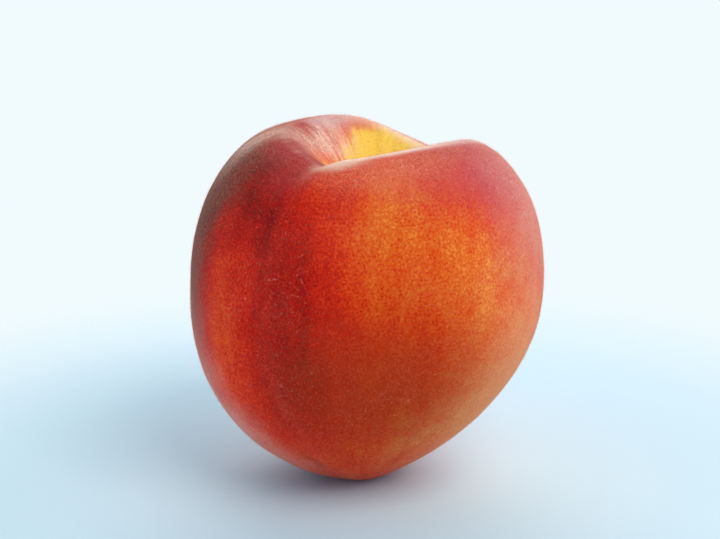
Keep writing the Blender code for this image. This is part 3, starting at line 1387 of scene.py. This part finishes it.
    def lay_flat(self, mesh: bpy.types.Mesh) -> None:
        """Lay the skin out flat: the flank as two strips, and the cavity and the tip as two discs.

        Args:
            mesh: The skin's mesh, which keeps the layout.
        """
        layout = self.layout
        around = np.append(self.angles(), self.angles()[0] + 2 * math.pi)
        down = np.append(self.down, self.down[:, :1], axis=1)
        cavity, tip = self.discs(around, down)
        half = np.arange(self.columns) >= self.columns // 2
        start = np.where(half, around[self.columns // 2], around[0])
        rows = np.arange(len(down) - 1)
        tip_row = int(np.argmax((down[-1] - down).mean(axis=1) < layout.tip_reach))
        corners = []
        for row_step, column_step in ((0, 0), (1, 0), (1, 1), (0, 1)):
            row = rows[:, None] + row_step
            column = np.arange(self.columns)[None] + column_step
            across = (around[column] - start) / math.pi * layout.strip_width
            along = down[row, column] + np.where(half, layout.second_strip, layout.first_strip)
            strip = np.stack([np.broadcast_to(across, along.shape), along], axis=-1)
            zone = np.broadcast_to(rows[:, None, None], strip.shape)
            flat = np.where(zone < self.steps[0], cavity[row, column], strip)
            corners.append(np.where(zone >= tip_row, tip[row, column], flat))
        quads = np.stack(corners, axis=2).reshape(-1, 2)
        top = self.fan(layout.cavity_middle, cavity[0, :-1], cavity[0, 1:])
        bottom = self.fan(layout.tip_middle, tip[-1, 1:], tip[-1, :-1])
        flat = np.concatenate([quads, top, bottom]) / layout.side
        mesh.uv_layers.new(name="OFBake").data.foreach_set("uv", flat.astype(np.float32).ravel())

    def discs(self, around: Array, down: Array) -> tuple[Array, Array]:
        """Lay every point out round the cavity's middle, and again round the tip's.

        Args:
            around: The direction of each column, the first one again at the end.
            down: How far down each point of those columns lies.

        Returns:
            The points on the cavity's disc, and those on the tip's.
        """
        turned = np.broadcast_to(around, down.shape)
        heading = np.stack([np.cos(turned), np.sin(turned)], axis=-1)
        cavity = self.layout.cavity_middle + heading * (down - down[0])[..., None]
        tip = self.layout.tip_middle + heading * (-1, 1) * (down[-1] - down)[..., None]
        return cavity, tip

    @staticmethod
    def fan(middle: tuple[float, float], first: Array, second: Array) -> Array:
        """The flat corners of a cap's triangles, which all share its middle."""
        centre = np.broadcast_to(middle, first.shape)
        return np.stack([centre, first, second], axis=1).reshape(-1, 2)

    @staticmethod
    def note(mesh: bpy.types.Mesh, name: str, kind: str, key: str, values: Array) -> None:
        """Keep a value for each point of the mesh, the same for a cap's middle as for its ring.

        Args:
            mesh: The mesh that keeps it.
            name: The attribute's name.
            kind: Its data type.
            key: The key that its data is set by.
            values: A value for each point of each ring.
        """
        middles = np.stack([values[0].mean(axis=0), values[-1].mean(axis=0)])
        flat = np.concatenate([values.reshape(-1, *values.shape[2:]), middles])
        attribute = mesh.attributes.new(name, kind, "POINT")
        attribute.data.foreach_set(key, flat.astype(np.float32).ravel())


# ------------------------------------------------------------------------------------------ the down


CROWN_DEPTH = 7.0


class Zone(Enum):
    """The stretches of skin that the down is made in. The crown ends at its depth below the crest."""

    CROWN = "crown"
    NEAR_CHEEK = "near_cheek"
    FAR_CHEEK = "far_cheek"
    ALL_OVER = "all_over"

    def holds(self, place: Array, down: Array) -> Array:
        """Which places lie in the zone.

        Args:
            place: The places on the fruit.
            down: How far each lies down from the crest, in millimetres.

        Returns:
            Whether each place does.
        """
        crown = down < CROWN_DEPTH
        near = place[..., 1] > 0
        return {
            Zone.CROWN: crown,
            Zone.NEAR_CHEEK: near & ~crown,
            Zone.FAR_CHEEK: ~near & ~crown,
            Zone.ALL_OVER: np.ones_like(crown),
        }[self]


@dataclass(frozen=True)
class Swirl:
    """A wave in the way that the hairs are combed: how far it turns them, its course and its start."""

    turn: float
    course: Point
    start: float


@dataclass
class Down:
    """The fine hairs on one stretch of the skin, as one mesh of thin spikes.

    `lift` is how steeply a hair leaves the skin, as a share of its length, `lift_spread` the least of
    it and what chance adds, and `lift_most` keeps it below upright. `droop` is how far its tip bends
    back, `scatter` how far each strays from the combing, in radians, and `sink` how deep its root is.
    """

    name: str
    skin: Skin
    zone: Zone
    count: int
    seed: int
    finish: DownFinish = DownFinish()
    length: float = 0.00036
    length_spread: float = 0.30
    width: float = 0.000016
    lift: float = 0.86
    lift_spread: tuple[float, float] = (0.75, 0.35)
    lift_most: float = 0.95
    droop: float = 0.12
    scatter: float = 0.9
    swirls: tuple[Swirl, ...] = (
        Swirl(0.8, (0.31, 0.12, 0.22), 0.0),
        Swirl(0.6, (-0.17, 0.37, 0.41), 2.0),
    )
    bends: int = 1
    sides: int = 3
    sink: float = 0.00003
    clear_height: float = 0.0002

    def roots(self, draw: np.random.Generator) -> tuple[Array, Array, Array, Array]:
        """Where the hairs grow, evenly strewn over the zone.

        Args:
            draw: The source of the random draws.

        Returns:
            The roots, the normals there, the directions down the skin and the places on the fruit.
        """
        points, normals, places = self.skin.points, self.skin.normals, self.skin.place
        corner, below = points[:-1], points[1:]
        beside, across = np.roll(corner, -1, axis=1), np.roll(below, -1, axis=1)
        area = np.linalg.norm(np.cross(across - corner, below - beside), axis=-1) / 2
        middle_down = (self.skin.down[:-1] + self.skin.down[1:]) / 2
        area = area * self.zone.holds(places[:-1], middle_down)
        share = np.cumsum(area.ravel()) / area.sum()
        face = np.searchsorted(share, draw.random(self.count))
        row, column = np.unravel_index(face, area.shape)
        u, v = draw.random(self.count)[:, None], draw.random(self.count)[:, None]
        next_column = (column + 1) % self.skin.columns

        def blend(grid: Array) -> Array:
            """Read a grid between the four corners of each root's face.

            Args:
                grid: What it holds at each point of the skin.

            Returns:
                Its value at each root.
            """
            upper = grid[row, column] * (1 - u) + grid[row, next_column] * u
            lower = grid[row + 1, column] * (1 - u) + grid[row + 1, next_column] * u
            return upper * (1 - v) + lower * v

        downward = unit(points[row + 1, column] - points[row, column])
        return blend(points), unit(blend(normals)), downward, blend(places)

    def combing(self, normal: Array, downward: Array, place: Array, draw: np.random.Generator) -> Array:
        """The way that each hair leans: in loose swirls, with a scatter of its own.

        Args:
            normal: The skin's normal at each root.
            downward: The direction down the skin there.
            place: The root's place on the fruit, in millimetres.
            draw: The source of the random draws.

        Returns:
            A direction along the skin for each hair.
        """
        combed = sum(swirl.turn * np.sin(place @ swirl.course + swirl.start) for swirl in self.swirls)
        turn = combed + self.scatter * draw.standard_normal(self.count)
        sideways = np.cross(normal, downward)
        return unit(downward * np.cos(turn)[:, None] + sideways * np.sin(turn)[:, None])

    def build(self) -> bpy.types.Object:
        """Grow the hairs.

        Returns:
            The hairs as one piece.
        """
        draw = np.random.default_rng(self.seed)
        root, normal, downward, place = self.roots(draw)
        lean = self.combing(normal, downward, place, draw)
        length = self.length * np.exp(self.length_spread * draw.standard_normal(self.count))
        least, chance = self.lift_spread
        lift = self.lift * (least + chance * draw.random(self.count))
        start = draw.random(self.count) * 2 * math.pi
        beside = np.cross(normal, lean)
        stations = []
        for step in range(self.bends):
            t = step / self.bends
            middle = self.along(root, normal, lean, length, lift, t)
            reach = self.width / 2 * (1 - t)
            for corner in range(self.sides):
                angle = start + corner * 2 * math.pi / self.sides
                spoke = lean * np.cos(angle)[:, None] + beside * np.sin(angle)[:, None]
                stations.append(middle + reach * spoke)
        stations.append(self.along(root, normal, lean, length, lift, 1.0))
        vertices = np.stack(stations, axis=1)
        vertices[..., 2] = np.maximum(vertices[..., 2], 0.0)
        keep = root[:, 2] > self.clear_height
        return self.piece(vertices[keep])

    def along(
        self, root: Array, normal: Array, lean: Array, length: Array, lift: Array, t: float
    ) -> Array:
        """The middle of each hair at a share of the way up it.

        Args:
            root: Where each hair grows.
            normal: The skin's normal there.
            lean: The way that the hair leans.
            length: Its length.
            lift: How steeply it leaves the skin.
            t: The share of the way up.

        Returns:
            A point for each hair.
        """
        up = (lift * t - self.droop * t * t) * length - self.sink * (t == 0)
        over = np.sqrt(1 - np.minimum(lift, self.lift_most) ** 2) * t * length
        return root + normal * up[:, None] + lean * over[:, None]

    def piece(self, vertices: Array) -> bpy.types.Object:
        """Make one mesh of all the hairs and dress it.

        Args:
            vertices: The corners of each hair, from its root to its tip.

        Returns:
            The hairs as one piece.
        """
        hairs, corners, _ = vertices.shape
        pairs = [(side, (side + 1) % self.sides) for side in range(self.sides)]
        pattern = []
        for step in range(self.bends - 1):
            low, high = self.sides * step, self.sides * (step + 1)
            for side, other in pairs:
                pattern.append((low + side, low + other, high + other))
                pattern.append((low + side, high + other, high + side))
        last = self.sides * (self.bends - 1)
        pattern += [(last + side, last + other, corners - 1) for side, other in pairs]
        faces = (np.array(pattern)[None] + corners * np.arange(hairs)[:, None, None]).reshape(-1, 3)
        mesh = bpy.data.meshes.new(self.name)
        mesh.vertices.add(hairs * corners)
        mesh.vertices.foreach_set("co", vertices.astype(np.float32).ravel())
        mesh.loops.add(faces.size)
        mesh.loops.foreach_set("vertex_index", faces.astype(np.int32).ravel())
        mesh.polygons.add(len(faces))
        mesh.polygons.foreach_set("loop_start", np.arange(0, faces.size, 3, dtype=np.int32))
        mesh.update(calc_edges=True)
        mesh.shade_smooth()
        mesh.materials.append(self.finish.material(self.name))
        return put(self.name, mesh)


@dataclass
class Peach:
    """The whole fruit: its skin and the down on it."""

    effects: Effects
    fruit: Fruit = Fruit()
    finish: SkinFinish = SkinFinish()

    def build(self) -> None:
        """Make each piece, dress it and set it on the fruit's body."""
        skin = Skin(self.fruit)
        skin.make()
        piece = skin.build()
        piece.data.materials.append(self.finish.material(self.effects))
        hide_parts("peach")
        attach(piece, "root")
        self.report(piece)
        for down in self.coats(skin):
            hairs = down.build()
            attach(hairs, "root")
            self.report(hairs)

    @staticmethod
    def coats(skin: Skin) -> tuple[Down, ...]:
        """The coats of hairs: short ones stretch by stretch, and sparse long ones all over.

        Args:
            skin: The skin that they grow on.

        Returns:
            The coats, not yet grown.
        """
        crown = Down("down_crown", skin, Zone.CROWN, count=36000, seed=3, length=0.00042, scatter=0.6)
        near_cheek = Down("down_near_cheek", skin, Zone.NEAR_CHEEK, count=64000, seed=5)
        far_cheek = Down("down_far_cheek", skin, Zone.FAR_CHEEK, count=64000, seed=7)
        sparse = Down(
            "down_long", skin, Zone.ALL_OVER, count=12000, seed=11, length=0.0007, droop=0.3, bends=2
        )
        return crown, near_cheek, far_cheek, sparse

    @staticmethod
    def report(piece: bpy.types.Object) -> None:
        """Say what a piece holds."""
        log.info("%s: %d faces", piece.name, len(piece.data.polygons))


# ---------------------------------------------------------------------------------------- the studio


@dataclass(frozen=True)
class Lamp:
    """A square lamp that faces the fruit: its place, the length of its side and its watts."""

    name: str
    place: Point
    size: float
    power: float
    colour: Colour
    on_table: bool = True


@dataclass
class Studio:
    """The pale table, the soft light and the camera."""

    table_reach: float = 0.4
    table_fade: Step = (0.07, 0.17)
    table_colour: Colour = tone(206, 234, 247)
    table_roughness: float = 0.8
    backdrop: Colour = tone(241, 251, 254)
    sky_right: Colour = tone(234, 243, 255)
    sky_left: Colour = tone(160, 224, 255)
    sky_from_right: float = 1.6
    sky_from_left: float = 0.9
    sky_narrowing: float = 3.0
    lamps: tuple[Lamp, ...] = (
        Lamp("window", (0.21, -0.30, 0.45), 0.30, 1.6, tone(255, 244, 230)),
        Lamp("rear", (-0.04, 0.48, 0.30), 0.50, 2.25, tone(255, 246, 236)),
        Lamp("left", (-0.50, -0.22, 0.06), 0.30, 1.2, tone(255, 246, 238), on_table=False),
    )
    camera_lens: float = 70.0
    camera_sensor: float = 36.0
    camera_distance: float = 0.299
    camera_elevation: float = 16.0
    aim: Point = (0.0003, 0.0, 0.0457)
    orbit_middle: Point = (0.0, 0.0, 0.037)

    def build(self) -> None:
        """Set up the whole studio."""
        self.lay_table()
        self.light_sky()
        for lamp in self.lamps:
            self.hang(lamp)
        self.place_camera()

    def lay_table(self) -> None:
        """A level sheet under the fruit, which melts into the backdrop all round."""
        reach = self.table_reach
        mesh = bpy.data.meshes.new("table")
        corners = [(-reach, -reach, 0), (reach, -reach, 0), (reach, reach, 0), (-reach, reach, 0)]
        mesh.from_pydata(corners, [], [(0, 1, 2, 3)])
        material, shader = new_material("table")
        shader.inputs["Base Color"].default_value = self.table_colour
        shader.inputs["Roughness"].default_value = self.table_roughness
        w = Wiring(material.node_tree)
        place = w.add("TexCoord", {}, {}).outputs["Object"]
        fade = w.ease(w.vector("LENGTH", place), *self.table_fade, 1.0, 0.0)
        w.tree.links.new(fade, shader.inputs["Alpha"])
        mesh.materials.append(material)
        put("table", mesh)

    def light_sky(self) -> None:
        """A pale surround that shines warmer from the right than from the left, and looks even."""
        world = bpy.data.worlds.new("daylight")
        world.use_nodes = True
        tree = world.node_tree
        tree.nodes.clear()
        w = Wiring(tree)
        towards = w.add("TexCoord", {}, {}).outputs["Generated"]
        right = w.math("MULTIPLY_ADD", w.vector("DOT_PRODUCT", towards, (1.0, 0.0, 0.0)), 0.5, 0.5)
        left = w.math("SUBTRACT", 1.0, right)
        right, left = (w.math("POWER", side, self.sky_narrowing) for side in (right, left))
        from_right = w.math("MULTIPLY", right, self.sky_from_right)
        from_left = w.math("MULTIPLY", left, self.sky_from_left)
        strength = w.math("ADD", from_left, from_right)
        share = w.math("DIVIDE", from_left, strength)
        light = w.mix(share, self.sky_right, self.sky_left)
        glow = w.add("Background", {}, {"Color": light, "Strength": strength})
        seen = w.add("Background", {}, {"Color": self.backdrop, "Strength": 1.0})
        path = w.add("LightPath", {}, {})
        inputs = {0: path.outputs["Is Camera Ray"], 1: glow.outputs[0], 2: seen.outputs[0]}
        mixed = w.add("MixShader", {}, inputs)
        w.add("OutputWorld", {}, {0: mixed.outputs[0]})
        bpy.context.scene.world = world

    @staticmethod
    def turn_to(thing: bpy.types.Object, place: Vector, target: Vector) -> None:
        """Set a lamp or a camera at a place, facing a target.

        Args:
            thing: The lamp or the camera.
            place: Where it stands.
            target: What it faces.
        """
        thing.location = place
        thing.rotation_euler = (target - place).to_track_quat("-Z", "Y").to_euler()

    def hang(self, lamp: Lamp) -> None:
        """Hang a lamp.

        Args:
            lamp: The lamp.
        """
        light = bpy.data.lights.new(lamp.name, "AREA")
        light.size = lamp.size
        light.energy = lamp.power
        light.color = lamp.colour[:3]
        holder = put(lamp.name, light)
        self.turn_to(holder, Vector(lamp.place), Vector(self.orbit_middle))
        if not lamp.on_table:
            self.keep_off_table(holder)

    @staticmethod
    def keep_off_table(holder: bpy.types.Object) -> None:
        """Let a lamp shine on the fruit alone, so that the shadow under it stays deep.

        Args:
            holder: The lamp's object.
        """
        fruit = bpy.data.collections.new("fruit")
        for piece in bpy.context.scene.objects:
            if piece.type == "MESH" and piece.name != "table":
                fruit.objects.link(piece)
        holder.light_linking.receiver_collection = fruit

    def place_camera(self) -> None:
        """Look a little down on the fruit from the front."""
        elevation = math.radians(self.camera_elevation)
        away = Vector((0, -math.cos(elevation), math.sin(elevation))) * self.camera_distance
        lens = bpy.data.cameras.new("camera")
        lens.lens = self.camera_lens
        lens.sensor_width = self.camera_sensor
        camera = put("camera", lens)
        self.turn_to(camera, Vector(self.orbit_middle) + away, Vector(self.aim))
        scene = bpy.context.scene
        scene.camera = camera
        scene.view_settings.view_transform = "Standard"
        scene.view_settings.look = "None"


def main() -> None:
    """Build the peach and the studio round it."""
    logging.basicConfig(level=logging.INFO, format="%(message)s")
    Peach(Effects()).build()
    Studio().build()


if __name__ == "__main__":
    main()
